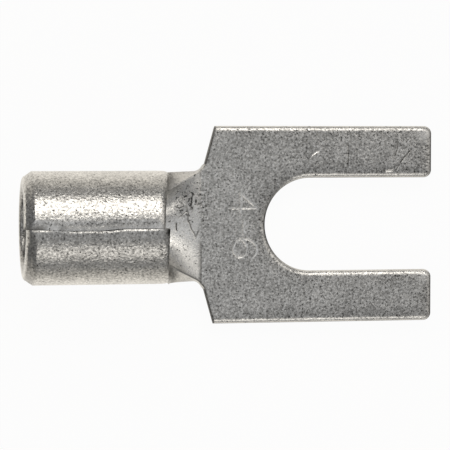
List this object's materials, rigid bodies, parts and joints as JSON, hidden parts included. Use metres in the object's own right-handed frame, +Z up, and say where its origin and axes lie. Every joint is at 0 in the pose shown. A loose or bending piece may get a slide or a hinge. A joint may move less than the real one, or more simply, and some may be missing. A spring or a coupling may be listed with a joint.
{
  "type": "fork terminal",
  "caption": "Uninsulated crimp fork terminal: a rolled wire barrel with a butted seam, a neck that opens out flat, and a tongue with an open slot that slips under a stud's screw head.",
  "frame": {"origin": "stud axis, at the centre of the slot's round end, on the seat face under the tongue", "axes": "+X along the terminal from the barrel to the tine tips, +Y across the fork, +Z up from the seat"},
  "size_m": [0.0209, 0.0098, 0.0055],
  "materials": {
    "tinned_copper": "dull tin plating on copper, fine grain"
  },
  "bodies": {
    "root": {"fork_terminal": "tinned_copper"}
  },
  "joints": []
}
